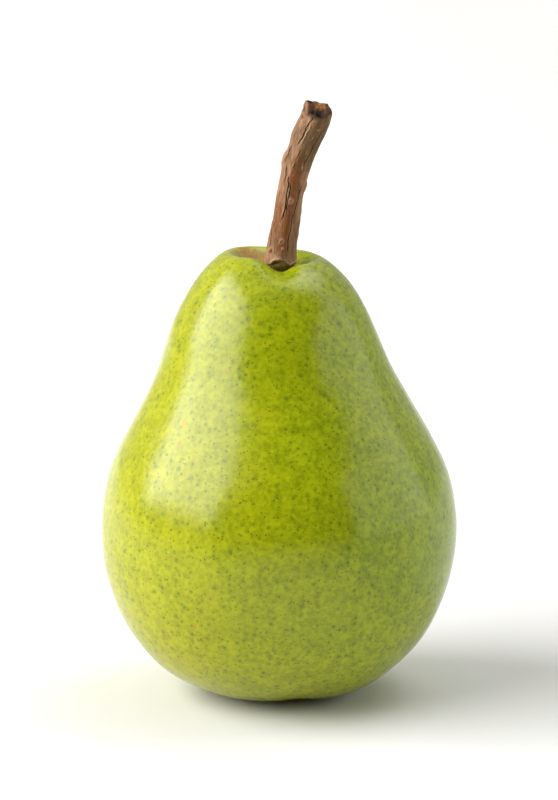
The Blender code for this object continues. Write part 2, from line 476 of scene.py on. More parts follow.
@dataclass(frozen=True)
class SkinFinish:
    """The waxy green skin, with its mottling, pores and russet."""

    deep: Colour = (0.140, 0.210, 0.001)
    leaf: Colour = (0.310, 0.400, 0.003)
    lime: Colour = (0.310, 0.325, 0.002)
    ripe: Colour = (0.475, 0.455, 0.006)
    pore: Colour = (0.070, 0.105, 0.001)
    pale: Colour = (0.560, 0.580, 0.180)
    fleck: Colour = (0.440, 0.280, 0.012)
    russet: Colour = (0.430, 0.235, 0.026)
    cork: Colour = (0.215, 0.095, 0.010)
    patch_size: float = 2.6 * MM
    speck_size: float = 0.95 * MM
    zone_size: float = 24.0 * MM
    patch_shares: Span = (0.52, 0.48)
    sunny_edge: Span = (24.0 * MM, -34.0 * MM)
    low_edge: Span = (30.0 * MM, 4.0 * MM)
    sunny_share: float = 0.7
    low_share: float = 0.2
    zone_share: float = 0.25
    pore_sizes: tuple[tuple[float, float, float], ...] = (
        (0.80 * MM, 0.19 * MM, 0.90),
        (1.45 * MM, 0.27 * MM, 0.85),
        (4.5 * MM, 0.70 * MM, 0.6),
    )
    small_halo: float = 0.15
    halo_depth: float = 0.42
    pore_depth: float = 0.72
    pale_edge: Span = (14.0 * MM, -4.0 * MM)
    pale_depth: float = 0.50
    fleck_edge: Span = (-4.0 * MM, -16.0 * MM)
    fleck_depth: float = 0.60
    wax_roughness: float = 0.20
    cork_roughness: float = 0.35
    speck_roughness: float = 0.05
    stem_foot: Span = (0.5 * MM, 0.0)
    crown: float = 86.0 * MM
    russet_drops: Span = (8.0 * MM, 4.0 * MM)
    russet_side: Span = (-0.85, 0.53)
    russet_growth: float = 0.64
    russet_reach: float = 4.5 * MM
    russet_grain: float = 1.6 * MM
    russet_tatters: float = 3.2 * MM
    russet_rim: float = 1.4 * MM
    russet_depth: float = 0.95
    pebble_size: float = 1.3 * MM
    pebble_height: float = 0.5
    pore_height: float = -0.08
    cork_grain: float = 0.35 * MM
    cork_height: float = 1.0

    def material(self, effects: Effects) -> bpy.types.Material:
        """Builds the skin's material.

        Args:
            effects: The shared node groups.

        Returns:
            The material.
        """
        material, g, shader = shaded("pear_skin")
        place = g.add("ShaderNodeTexCoord").outputs["Object"]
        axis = g.add("ShaderNodeSeparateXYZ", Vector=place).outputs
        mottle, dots = effects.mottle, effects.dots
        clouds = mottle.placed(g, Vector=place, Size=self.patch_size, Contrast=0.15).outputs[0]
        specks = mottle.placed(g, Vector=place, Size=self.speck_size, Contrast=0.10).outputs[0]
        zones = mottle.placed(g, Vector=place, Size=self.zone_size, Contrast=0.22).outputs[0]
        broad, fine = self.patch_shares
        patch = g.math("MULTIPLY_ADD", clouds, broad, g.math("MULTIPLY", specks, fine))
        colour = g.mix(patch, self.deep, self.leaf)
        colour = g.mix(self._ripeness(g, axis, zones), colour, g.mix(patch, self.lime, self.ripe))
        small, big, rare = (
            dots.placed(g, Vector=place, Spacing=spacing, Radius=radius, Share=share).outputs
            for spacing, radius, share in self.pore_sizes
        )
        pores = g.math("MAXIMUM", small["Mask"], big["Mask"])
        halos = g.math("MAXIMUM", g.math("MULTIPLY", small["Halo"], self.small_halo), big["Halo"])
        colour = g.mix(g.math("MULTIPLY", halos, self.halo_depth), colour, self.deep)
        colour = g.mix(g.math("MULTIPLY", pores, self.pore_depth), colour, self.pore)
        pale = g.math("MULTIPLY", big["Core"], g.step(axis["X"], *self.pale_edge))
        colour = g.mix(g.math("MULTIPLY", pale, self.pale_depth), colour, self.pale)
        flecks = g.math("MULTIPLY", rare["Mask"], g.step(axis["X"], *self.fleck_edge))
        colour = g.mix(g.math("MULTIPLY", flecks, self.fleck_depth), colour, self.fleck)
        russet = self._russet(g, place, axis)
        strokes = effects.fibres.placed(g, Vector=place, Width=0.35 * MM, Length=1.2 * MM)
        colour = g.mix(russet, colour, g.mix(strokes.outputs[0], self.russet, self.cork))
        g.feed(shader.inputs["Base Color"], colour)
        dull = g.math("ADD", self.wax_roughness, g.math("MULTIPLY", russet, self.cork_roughness))
        dull = g.math("ADD", dull, g.math("MULTIPLY", specks, self.speck_roughness))
        g.feed(shader.inputs["Roughness"], dull)
        self._relief(g, shader, place, pores, russet)
        shader.inputs["IOR"].default_value = 1.43
        shader.inputs["Subsurface Weight"].default_value = 0.12
        shader.inputs["Subsurface Radius"].default_value = (1.0, 0.9, 0.15)
        shader.inputs["Subsurface Scale"].default_value = 1.5 * MM
        return material

    def _ripeness(self, g: Graph, axis: object, zones: object) -> bpy.types.NodeSocket:
        """Masks the yellower skin: the sunny left side, the bottom and some broad zones."""
        sunny = g.step(axis["X"], *self.sunny_edge)
        low = g.step(axis["Z"], *self.low_edge)
        sunny = g.math("MULTIPLY", sunny, self.sunny_share)
        ripe = g.math("ADD", sunny, g.math("MULTIPLY", low, self.low_share))
        return g.math("ADD", ripe, g.math("MULTIPLY", zones, self.zone_share), clamp=True)

    def _russet(self, g: Graph, place: object, axis: object) -> bpy.types.NodeSocket:
        """Masks the golden brown cork inside the hollow, widest at its back left."""
        flat = g.add("ShaderNodeCombineXYZ", X=axis["X"], Y=axis["Y"]).outputs[0]
        away = g.vector("DISTANCE", flat, (*self.stem_foot, 0.0))
        left, back = self.russet_side
        side = g.math("MULTIPLY_ADD", axis["X"], left, g.math("MULTIPLY", axis["Y"], back))
        reach = g.math("MULTIPLY_ADD", side, self.russet_growth, self.russet_reach)
        coarse = g.noise(place, 1.0 / self.russet_grain, 4.0)
        tatters = g.math("SUBTRACT", coarse, 0.5)
        edge = g.math("MULTIPLY_ADD", tatters, self.russet_tatters, reach)
        inside = g.step(away, edge, g.math("SUBTRACT", edge, self.russet_rim))
        top = g.step(axis["Z"], *(self.crown - drop for drop in self.russet_drops))
        return g.math("MULTIPLY", g.math("MULTIPLY", inside, top), self.russet_depth)

    def _relief(
        self, g: Graph, shader: bpy.types.Node, place: object, pores: object, russet: object
    ) -> None:
        """Adds the fine pebbling, the sunken pores and the russet's roughness."""
        pebbles = g.noise(place, 1.0 / self.pebble_size, 1.0)
        cork = g.noise(place, 1.0 / self.cork_grain, 3.0)
        pebbles = g.math("MULTIPLY", pebbles, self.pebble_height)
        height = g.math("MULTIPLY_ADD", pores, self.pore_height, pebbles)
        cork = g.math("MULTIPLY", g.math("MULTIPLY", cork, russet), self.cork_height)
        height = g.math("ADD", height, cork)
        bump = g.add("ShaderNodeBump", Strength=1.0, Distance=0.05 * MM, Height=height)
        g.feed(shader.inputs["Normal"], bump.outputs[0])


@dataclass(frozen=True)
class BarkFinish:
    """The stem's dry bark: tan ribs, a warm stripe, dark splits, painted shade and an olive foot.
    """

    tan: Colour = (0.460, 0.240, 0.125)
    grey: Colour = (0.215, 0.120, 0.060)
    warm: Colour = (0.215, 0.056, 0.002)
    umber: Colour = (0.075, 0.026, 0.006)
    pale: Colour = (0.560, 0.380, 0.220)
    olive: Colour = (0.250, 0.180, 0.055)
    moss: Colour = (0.130, 0.090, 0.022)
    chip: Colour = (0.420, 0.160, 0.030)
    black: Colour = (0.008, 0.005, 0.003)
    warm_shares: Span = (0.12, 0.90)
    fibre_depth: float = 0.50
    speck_depth: float = 0.10
    foot_grey: float = 0.4
    shade_depth: float = 0.55
    chip_shares: Span = (0.9, 0.1)
    roughness: Span = (0.20, 0.48)
    warm_gloss: float = -0.10
    speck_height: float = 0.6

    def material(self, effects: Effects) -> bpy.types.Material:
        """Builds the bark's material.

        Args:
            effects: The shared node groups.

        Returns:
            The material.
        """
        material, g, shader = shaded("stem_bark")
        place = g.add("ShaderNodeTexCoord").outputs["Object"]
        marks = {
            mark: g.add("ShaderNodeAttribute", attribute_name=mark.value).outputs["Fac"]
            for mark in Mark
        }
        fibres, mottle = effects.fibres, effects.mottle
        fine = fibres.placed(g, Vector=place, Width=0.30 * MM, Length=2.5 * MM).outputs[0]
        broad = fibres.placed(g, Vector=place, Width=1.3 * MM, Length=6.0 * MM).outputs[0]
        specks = mottle.placed(g, Vector=place, Size=0.7 * MM, Contrast=0.2).outputs[0]
        colour = g.mix(broad, self.tan, self.grey)
        warm = g.math("MULTIPLY_ADD", specks, *self.warm_shares)
        warm = g.math("MULTIPLY", marks[Mark.WARM], warm)
        colour = g.mix(warm, colour, self.warm)
        colour = g.mix(g.math("MULTIPLY", fine, self.fibre_depth), colour, self.umber)
        colour = g.mix(g.math("MULTIPLY", specks, self.speck_depth), colour, self.pale)
        foot = g.mix(broad, self.moss, self.olive)
        foot = g.mix(g.math("MULTIPLY", specks, self.foot_grey), foot, self.grey)
        colour = g.mix(marks[Mark.COLLAR], colour, foot)
        # Painted shade: the top's front right darkens towards umber.
        shade = g.math("MULTIPLY", marks[Mark.SHADE], self.shade_depth)
        colour = g.mix(shade, colour, self.umber)
        colour = g.mix(marks[Mark.PALE], colour, self.pale)
        crumbs = mottle.placed(g, Vector=place, Size=0.45 * MM, Contrast=0.12).outputs[0]
        torn = g.mix(specks, self.black, self.umber)
        chips = g.math("MULTIPLY_ADD", marks[Mark.WARM], *self.chip_shares)
        torn = g.mix(g.math("MULTIPLY", crumbs, chips), torn, self.chip)
        colour = g.mix(marks[Mark.CUT_END], colour, torn)
        # Splits and the painted shade in grooves, pits and under the flap go black.
        colour = g.mix(marks[Mark.SPLIT], colour, self.black)
        g.feed(shader.inputs["Base Color"], colour)
        dull = g.math("MULTIPLY_ADD", fine, *self.roughness)
        g.feed(shader.inputs["Roughness"], g.math("MULTIPLY_ADD", warm, self.warm_gloss, dull))
        shader.inputs["Specular IOR Level"].default_value = 0.20
        height = g.math("ADD", fine, g.math("MULTIPLY", specks, self.speck_height))
        bump = g.add("ShaderNodeBump", Strength=1.0, Distance=0.07 * MM, Height=height)
        g.feed(shader.inputs["Normal"], bump.outputs[0])
        return material


@dataclass(frozen=True)
class DryFinish:
    """The dried flower's brown tissue."""

    brown: Colour = (0.105, 0.058, 0.024)
    dark: Colour = (0.030, 0.017, 0.009)
    straw: Colour = (0.260, 0.180, 0.090)
    vein_depth: float = 0.5
    roughness: float = 0.7
    vein_roughness: float = 0.2

    def material(self, effects: Effects) -> bpy.types.Material:
        """Builds the dried tissue's material.

        Args:
            effects: The shared node groups.

        Returns:
            The material.
        """
        material, g, shader = shaded("dried_flower")
        place = g.add("ShaderNodeTexCoord").outputs["Object"]
        fibres, mottle = effects.fibres, effects.mottle
        veins = fibres.placed(g, Vector=place, Width=0.35 * MM, Length=1.4 * MM).outputs[0]
        blotch = mottle.placed(g, Vector=place, Size=1.6 * MM, Contrast=0.15).outputs[0]
        colour = g.mix(blotch, self.dark, self.brown)
        colour = g.mix(g.math("MULTIPLY", veins, self.vein_depth), colour, self.straw)
        g.feed(shader.inputs["Base Color"], colour)
        dull = g.math("ADD", self.roughness, g.math("MULTIPLY", veins, self.vein_roughness))
        g.feed(shader.inputs["Roughness"], dull)
        bump = g.add("ShaderNodeBump", Strength=0.8, Distance=0.05 * MM, Height=veins)
        g.feed(shader.inputs["Normal"], bump.outputs[0])
        return material


@dataclass
class Fruit:
    """The fruit's flesh and skin, with broad shallow dents and fine ripples."""

    dent_size: float = 17.0 * MM
    dent_depth: float = 0.5 * MM
    ripple_size: float = 5.0 * MM
    ripple_depth: float = 0.10 * MM

    def build(self, skin: bpy.types.Material) -> bpy.types.Object:
        """Builds the fruit.

        Args:
            skin: The skin's material.

        Returns:
            The finished piece.
        """
        piece = Bench.refined_copy("fruit", "pear_fruit", levels=2)
        Bench.displace(piece, self.dent_size, self.dent_depth, depth=1)
        Bench.displace(piece, self.ripple_size, self.ripple_depth, depth=1)
        places = Bench.places(piece)
        places[:, 2] = np.maximum(places[:, 2], 0.0)
        Bench.put(piece, places)
        piece.data.materials.append(skin)
        Bench.hand_in(piece, Slot.SKIN, "fruit")
        return piece


@dataclass(frozen=True)
class Seam:
    """A line that runs along the bark, through (height in mm, azimuth in degrees) points.

    It is a split where its rise is negative and a raised flake where it is positive.
    """

    points: tuple[tuple[float, float], ...]
    width: float
    rise: float
    sway: Span = (0.035, 1.3)
    shiver: Span = (0.018, 4.1)

    def away(self, bark: "Bark") -> tuple[np.ndarray, np.ndarray]:
        """Measures how far the bark's points are from this line, round the stem.

        Args:
            bark: The bark's points.

        Returns:
            The distances, and how much the line has tapered at each point's height.
        """
        heights, azimuths = (np.array(column) for column in zip(*sorted(self.points)))
        z = bark.places[:, 2] / MM
        course = np.radians(np.interp(z, heights, azimuths))
        sway, shiver = (
            reach * np.sin(z * rate + azimuths[0]) for reach, rate in (self.sway, self.shiver)
        )
        distance = wrapped(bark.azimuth - course - (sway + shiver)) * bark.radius
        low, high = heights[0], heights[-1]
        ends = eased(z, low - 0.2, low + 1.0) * eased(z, high + 0.2, high - 0.8)
        return distance, ends


@dataclass(frozen=True)
class Wart:
    """A small raised scar on the bark, with its height in mm and its azimuth in degrees."""

    height: float
    azimuth: float
    radius: float = 0.5 * MM
    rise: float = 0.28 * MM
    pit: float = 0.6
    squash: float = 0.8
    lobes: Span = (0.25, 5.0)
    pit_width: float = 0.38

    def shares(self, bark: "Bark") -> tuple[np.ndarray, np.ndarray]:
        """Measures the scar at each point of the bark.

        Args:
            bark: The bark's points.

        Returns:
            The knob's shares and its pit's.
        """
        z = bark.places[:, 2]
        across = bark.turn_from(self.azimuth) * bark.radius
        away = np.hypot(across, self.squash * (z - self.height * MM))
        depth, count = self.lobes
        away = away * (1.0 + depth * np.sin(count * np.arctan2(across, z) + self.height))
        pit = self.pit * bell(away, self.pit_width * self.radius)
        return bell(away, self.radius, 4.0), pit


@dataclass
class Bark:
    """The bark's points while they are sculpted."""

    places: np.ndarray
    normals: np.ndarray
    azimuth: np.ndarray
    radius: np.ndarray
    rise: np.ndarray
    marks: dict[Mark, np.ndarray]

    @classmethod
    def of(cls, piece: bpy.types.Object, line: "StemLine") -> "Bark":
        """Reads a piece's points and measures them from the stem's middle line."""
        places = Bench.places(piece)
        normals = np.array([vertex.normal for vertex in piece.data.vertices])
        out = places[:, :2] - line.at(places[:, 2])
        azimuth = np.arctan2(out[:, 1], out[:, 0])
        empty = np.zeros(len(places))
        marks = {mark: empty.copy() for mark in Mark}
        return cls(places, normals, azimuth, np.hypot(*out.T), empty.copy(), marks)

    def stain(self, mark: Mark, shares: np.ndarray) -> None:
        """Marks the bark where shares is above what it has."""
        self.marks[mark] = np.maximum(self.marks[mark], shares)

    def turn_from(self, degrees: float) -> np.ndarray:
        """How far each point lies round the stem from an azimuth, in radians."""
        return wrapped(self.azimuth - math.radians(degrees))

    def strip(self, degrees: float, reach: float, power: float = 4.0) -> np.ndarray:
        """Shares of a strip along the stem, with its azimuth and its reach in degrees."""
        return bell(self.turn_from(degrees), math.radians(reach), power)


class StemLine:
    """The stem's middle line, read from its solid."""

    bands: int = 24
    overlap: float = 1.2 * MM

    def __init__(self, node: str) -> None:
        """Averages the solid's corners in bands of height."""
        points = Bench.places(bpy.data.objects[node])
        z = points[:, 2]
        edges = np.linspace(z.min(), z.max(), self.bands + 1)
        middles = []
        for low, high in zip(edges, edges[1:]):
            inside = points[(z >= low - self.overlap) & (z <= high + self.overlap)]
            middles.append((inside.min(0) + inside.max(0)) / 2.0)
        self.middles = np.array(middles)

    def at(self, heights: np.ndarray) -> np.ndarray:
        """The middle line's (X, Y) at each height."""
        middles = self.middles
        return np.stack([np.interp(heights, middles[:, 2], middles[:, i]) for i in (0, 1)], axis=1)


@dataclass(frozen=True)
class Stripe:
    """A stain along the bark, with its azimuths in degrees and its heights in mm; with Mark.SHADE
    it is painted shade.

    It fades in over bottom and out over top, or with height about its spot, (middle, reach).
    """

    mark: Mark
    strength: float
    azimuth: float
    reach: float
    bottom: Span = (0.0, 1.0)
    top: Span = (201.0, 200.0)
    spot: Span | None = None
    power: float = 4.0

    def stain(self, bark: Bark, stir: np.ndarray) -> None:
        """Stains the bark.

        Args:
            bark: The bark's points.
            stir: How uneven the stain is at each point.
        """
        z = bark.places[:, 2] / MM
        strip = bark.strip(self.azimuth, self.reach, self.power)
        strip = strip * eased(z, *self.bottom) * eased(z, *self.top)
        if self.spot:
            middle, height = self.spot
            strip = strip * bell(z - middle, height, 4.0)
        bark.stain(self.mark, np.clip(self.strength * strip + stir * strip, 0.0, 1.0))


@dataclass(frozen=True)
class TornFoot:
    """The bark's torn lower rim over the smooth olive foot, with one lifted flap in front.

    The edge is a row of azimuths in degrees with heights in mm, and so are the flap and the
    hollow under it: azimuth and reach in degrees, then middle and height above the edge.
    """

    edge: tuple[Span, ...] = (
        (-180.0, 85.3), (-150.0, 85.2), (-126.0, 85.6), (-106.0, 86.2), (-90.0, 86.3),
        (-74.0, 86.0), (-54.0, 85.3), (-30.0, 85.6), (0.0, 85.5), (60.0, 85.4), (180.0, 85.3),
    )
    ragged: float = 0.16 * MM
    fade: float = 0.10 * MM
    smoothing: float = 0.75
    step_in: float = 0.12 * MM
    rim_height: float = 0.22 * MM
    rim_shares: Span = (0.25, 0.75)
    rim_side: Span = (0.1, 0.4)
    flap: tuple[float, float, float, float] = (-108.0, 19.0, 0.22 * MM, 0.34 * MM)
    flap_height: float = 0.50 * MM
    hollow: tuple[float, float, float, float] = (-106.0, 15.0, -0.32 * MM, 0.22 * MM)
    hollow_depth: float = 0.30 * MM

    def shape(self, bark: Bark) -> None:
        """Shapes and stains the foot, and paints a shadow into the hollow under its flap.

        Args:
            bark: The bark's points.
        """
        z = bark.places[:, 2]
        out = np.stack([np.cos(bark.azimuth), np.sin(bark.azimuth), 0.0 * z], axis=1)
        azimuths, heights = zip(*self.edge)
        edge = np.interp(np.degrees(bark.azimuth), azimuths, heights) * MM
        edge = edge + self.ragged * rough(out, 0.30, seed=9.0)
        foot = 1.0 - eased(z, edge - self.fade, edge + self.fade)
        least, more = self.rim_shares
        rim = bell(z - edge - 0.20 * MM, 0.24 * MM)
        rim = rim * (least + more * eased(bark.turn_from(-90.0), *self.rim_side))
        flap, hollow = (
            bark.strip(azimuth, reach) * bell(z - edge - middle, height)
            for azimuth, reach, middle, height in (self.flap, self.hollow)
        )
        bark.rise = bark.rise * (1.0 - self.smoothing * foot) - self.step_in * foot
        bark.rise = bark.rise + self.rim_height * rim + self.flap_height * flap
        bark.rise = bark.rise - self.hollow_depth * hollow
        bark.marks[Mark.SPLIT] *= 1.0 - 0.8 * foot
        bark.stain(Mark.COLLAR, foot)
        patches = eased(rough(bark.places, 0.5 * MM, seed=2.0, layers=2), -0.1, 0.3)
        bark.stain(Mark.PALE, 0.6 * rim * patches)
        bark.stain(Mark.PALE, 0.6 * flap)
        # Painted shadow: the hollow under the flap goes dark.
        bark.stain(Mark.SPLIT, 0.7 * hollow)


@dataclass(frozen=True)
class BrokenEnd:
    """The stem's dark broken end, which slopes down towards its front and left.

    Its pits are (X, Y, width) from its middle, and they and its floor's depths are in mm.
    """

    lowest: float = 108.0 * MM
    facing_up: float = 0.85
    rim_depths: Span = (-1.6 * MM, 0.1 * MM)
    slope_depths: Span = (-6.0 * MM, -0.2 * MM)
    reach: float = 3.2 * MM
    left_fall: float = 1.4 * MM
    front_fall: float = 2.2 * MM
    lift: float = 0.9 * MM
    shoulder: float = 0.7 * MM
    floor_edge: Span = (2.0 * MM, 2.9 * MM)
    floor_depth: float = 0.20
    pit_depth: float = 0.9
    pits: tuple[tuple[float, float, float], ...] = (
        (-1.9, -0.2, 0.55),
        (0.9, -1.3, 0.85),
        (-0.9, 1.2, 0.50),
        (-0.5, -1.2, 0.35),
    )
    chip_size: float = 1.0 * MM
    chip_height: float = 0.22 * MM
    rim_drop: float = 0.30 * MM
    cut_depths: Span = (-0.55 * MM, -0.15 * MM)
    rolled_edge: Span = (0.62, 0.42)

    def shape(self, bark: Bark) -> None:
        """Rounds, breaks and stains the end, and paints shade into its pits.

        Args:
            bark: The bark's points.
        """
        places, normals = bark.places, bark.normals
        near = places[:, 2] > self.lowest
        face = near & (normals[:, 2] > self.facing_up)
        middle, facing = places[face].mean(0), normals[face].mean(0)
        facing /= np.linalg.norm(facing)
        depth = (places - middle) @ facing
        rim = np.where(near, eased(depth, *self.rim_depths), 0.0)
        right, back, _ = (places - middle).T
        left, front = -right / self.reach, -back / self.reach
        sink = self.left_fall * eased(left, 0.35, 1.10) + self.front_fall * eased(front, -0.70, 1.0)
        sink = sink - self.lift - self.shoulder * eased(left, -0.30, -0.90)
        sink = sink * np.where(near, eased(depth, *self.slope_depths), 0.0)
        inside = 1.0 - eased(np.hypot(right, back), *self.floor_edge)
        chips = rough(places, self.chip_size, seed=7.0)
        pits = np.zeros(len(places))
        for x, y, width in self.pits:
            pits = np.maximum(pits, bell(np.hypot(right - x * MM, back - y * MM), width * MM, 3.0))
        bark.rise = bark.rise * (1.0 - rim * inside) + self.chip_height * rim * chips
        bark.places = places - np.outer(sink, (0.0, 0.0, 1.0))
        broken = rim * inside * (self.floor_depth + self.pit_depth * pits) * MM
        bark.places -= np.outer(broken, facing)
        bark.rise -= self.rim_drop * rim * (1.0 - inside)
        cut = np.where(near, eased(depth, *self.cut_depths), 0.0)
        rolled = eased(left + 0.12 * chips, *self.rolled_edge)
        bark.marks[Mark.SPLIT] *= 1.0 - rim * inside
        bark.marks[Mark.WARM] *= 1.0 - cut
        bark.stain(Mark.CUT_END, cut * rolled)
        bark.stain(Mark.WARM, cut * bell(left + 0.28, 0.36, 4.0) * eased(front, 0.30, -0.05))
        # Painted shade: the end's pits go black.
        bark.stain(Mark.SPLIT, np.clip(1.4 * rim * pits * rolled, 0.0, 1.0))
        edge = bell(depth + 0.45 * MM, 0.35 * MM) * np.where(near, 1.0, 0.0)
        bark.stain(Mark.SPLIT, 0.6 * edge * eased(chips, -0.2, 0.4))


@dataclass
class Stem:
    """The bark-covered stem.

    The splits behind come from a seeded draw, with heights, lengths, widths and depths in mm and
    azimuths in degrees.
    """

    splits: tuple[Seam, ...] = (
        Seam(
            ((115.6, -104), (114.5, -107), (112.9, -115), (111.3, -118), (108.6, -124)),
            0.15 * MM,
            -0.55 * MM,
        ),
        Seam(((113.6, -128), (110.5, -140)), 0.09 * MM, -0.20 * MM),
        Seam(
            ((112.4, -42), (110.3, -48), (109.1, -49), (107.0, -52), (104.6, -50)),
            0.13 * MM,
            -0.42 * MM,
        ),
        Seam(((110.4, -24), (107.0, -22), (104.8, -26)), 0.11 * MM, -0.32 * MM),
        Seam(((108.4, -150), (105.2, -154)), 0.12 * MM, -0.40 * MM),
        Seam(((108.2, -101), (105.6, -105)), 0.10 * MM, -0.28 * MM),
        Seam(((104.6, -137), (101.4, -131)), 0.11 * MM, -0.32 * MM),
        Seam(((104.9, -92), (103.0, -98)), 0.08 * MM, -0.22 * MM),
        Seam(
            ((102.6, -113), (100.5, -108), (98.3, -106), (96.2, -107), (94.2, -111)),
            0.15 * MM,
            -0.55 * MM,
        ),
        Seam(((101.6, -102), (99.6, -96), (97.8, -97), (95.4, -97)), 0.10 * MM, -0.35 * MM),
        Seam(((100.8, -38), (98.6, -49), (97.1, -53), (94.6, -57)), 0.12 * MM, -0.38 * MM),
        Seam(((95.5, -62), (91.0, -66), (87.6, -62)), 0.14 * MM, -0.18 * MM),
        Seam(((92.5, -150), (88.6, -146)), 0.10 * MM, -0.22 * MM),
    )
    flakes: tuple[Seam, ...] = (
        Seam(((113.6, -103), (110.6, -108), (108.4, -113)), 0.14 * MM, 0.16 * MM),
        Seam(((110.6, -78), (109.2, -80)), 0.10 * MM, 0.20 * MM),
        Seam(((107.9, -70), (106.7, -80)), 0.11 * MM, 0.26 * MM),
        Seam(((105.4, -96), (103.9, -112)), 0.11 * MM, 0.26 * MM),
        Seam(((105.2, -66), (103.4, -64)), 0.12 * MM, 0.24 * MM),
        Seam(((100.6, -99), (97.0, -101)), 0.10 * MM, 0.16 * MM),
        Seam(((112.2, -60), (111.6, -56)), 0.10 * MM, 0.20 * MM),
    )
    warts: tuple[Wart, ...] = (
        Wart(97.8, -86.0, 0.50 * MM, 0.38 * MM),
        Wart(92.8, -58.0, 0.30 * MM, 0.20 * MM),
        Wart(89.9, -92.0, 0.65 * MM, 0.45 * MM, 0.9),
        Wart(88.6, -84.0, 0.32 * MM, 0.22 * MM, 0.1),
        Wart(88.2, -140.0, 0.32 * MM, 0.28 * MM, 0.1),
        Wart(112.2, -68.0, 0.22 * MM, 0.20 * MM, 0.1),
        Wart(105.8, 178.0, 0.90 * MM, 0.30 * MM, 0.0),
        Wart(100.4, -8.0, 0.80 * MM, 0.32 * MM, 0.0),
        Wart(100.5, 60.0, 0.55 * MM, 0.34 * MM),
        Wart(92.0, 120.0, 0.45 * MM, 0.30 * MM),
        Wart(107.0, 120.0, 0.50 * MM, 0.34 * MM),
        Wart(89.5, 30.0, 0.40 * MM, 0.26 * MM, 0.2),
    )
    more_splits: int = 16
    seed: int = 11
    hidden_tops: Span = (92.0, 114.5)
    hidden_azimuths: Span = (-5.0, 190.0)
    hidden_lengths: Span = (2.5, 8.0)
    hidden_foot: float = 87.5
    hidden_drifts: Span = (-14.0, 14.0)
    hidden_widths: Span = (0.09, 0.15)
    hidden_depths: Span = (0.25, 0.5)
    stripes: tuple[Stripe, ...] = (
        Stripe(Mark.COLLAR, 0.55, -48.0, 52.0, bottom=(102.0, 108.0), power=6.0),
        # Painted shade over the top's front right.
        Stripe(Mark.SHADE, 0.80, -48.0, 52.0, bottom=(102.0, 108.0), power=6.0),
        Stripe(Mark.WARM, 1.1, -82.0, 30.0, bottom=(86.8, 89.0), top=(109.5, 105.5)),
        Stripe(Mark.WARM, 0.75, -140.0, 34.0, spot=(94.5, 4.2)),
        Stripe(Mark.WARM, 0.8, 75.0, 38.0, bottom=(90.0, 93.0), top=(112.0, 108.0)),
        Stripe(Mark.WARM, 0.45, -66.0, 20.0, bottom=(107.0, 109.0)),
    )
    stripe_stir: float = 0.35
    fibre_pitch: float = 3.2
    fibre_length: float = 4.0 * MM
    fibre_relief: float = 0.07 * MM
    lump_size: float = 2.6 * MM
    lump_relief: float = 0.13 * MM
    groove_width: float = 0.72
    lip_height: float = 0.10
    # The split depth at which a groove's painted shade is full.
    full_shade_depth: float = 0.30 * MM
    foot: TornFoot = TornFoot()
    end: BrokenEnd = BrokenEnd()

    def build(self, bark: bpy.types.Material) -> bpy.types.Object:
        """Builds the stem.

        Args:
            bark: The bark's material.

        Returns:
            The finished piece.
        """
        piece = Bench.refined_copy("stem", "pear_stem", levels=2)
        with Bench.editing(piece):
            bpy.ops.mesh.select_all(action="SELECT")
            bpy.ops.mesh.subdivide(number_cuts=2)
        surface = Bark.of(piece, StemLine("stem"))
        self._grain(surface)
        self._seams(surface)
        self._warts(surface)
        self.foot.shape(surface)
        self._stripes(surface)
        self.end.shape(surface)
        Bench.put(piece, surface.places + surface.normals * surface.rise[:, None])
        for mark, values in surface.marks.items():
            Bench.mark(piece, mark, values)
        piece.data.materials.append(bark)
        Bench.hand_in(piece, Slot.BARK, "stem")
        return piece

    def _grain(self, bark: Bark) -> None:
        """Raises long fibres and broad lumps."""
        out = np.stack([np.cos(bark.azimuth), np.sin(bark.azimuth)], axis=1)
        height = bark.places[:, 2] / self.fibre_length
        along = np.column_stack([out * self.fibre_pitch, height])
        bark.rise += self.fibre_relief * rough(along, 0.7, seed=1.0, layers=4)
        bark.rise += self.lump_relief * rough(bark.places, self.lump_size, seed=5.0, layers=2)

    def _hidden_splits(self) -> list[Seam]:
        """Draws the splits on the stem's far side."""
        draw = np.random.default_rng(self.seed)
        splits = []
        for _ in range(self.more_splits):
            top, azimuth = draw.uniform(*self.hidden_tops), draw.uniform(*self.hidden_azimuths)
            foot = max(top - draw.uniform(*self.hidden_lengths), self.hidden_foot)
            course = ((top, azimuth), (foot, azimuth + draw.uniform(*self.hidden_drifts)))
            width, depth = draw.uniform(*self.hidden_widths), draw.uniform(*self.hidden_depths)
            splits.append(Seam(course, width * MM, -depth * MM))
        return splits

    def _seams(self, bark: Bark) -> None:
        """Cuts the splits, with low lips and painted shade that darkens with their depth, and
        raises the pale flakes with a painted shadow beside each.
        """
        for seam in (*self.splits, *self._hidden_splits()):
            distance, ends = seam.away(bark)
            width = self.groove_width * seam.width
            groove = bell(distance, width, 4.0) * ends
            lips = bell(np.abs(distance) - 2.2 * width, 0.9 * width) * ends
            bark.rise += seam.rise * (groove - self.lip_height * lips)
            # Painted shade: the deeper the split, the darker its groove.
            groove_shade = min(1.0, -seam.rise / self.full_shade_depth)
            bark.stain(Mark.SPLIT, bell(distance, 1.1 * width, 4.0) * ends * groove_shade)
            bark.stain(Mark.PALE, 0.22 * lips)
        for flake in self.flakes:
            distance, ends = flake.away(bark)
            ridge = bell(distance, flake.width, 3.0) * ends
            shadow = bell(distance - 1.8 * flake.width, flake.width) * ends
            bark.rise += flake.rise * (ridge - 0.5 * shadow)
            bark.stain(Mark.PALE, 0.85 * ridge)
            # Painted shadow beside each flake.
            bark.stain(Mark.SPLIT, 0.5 * shadow)

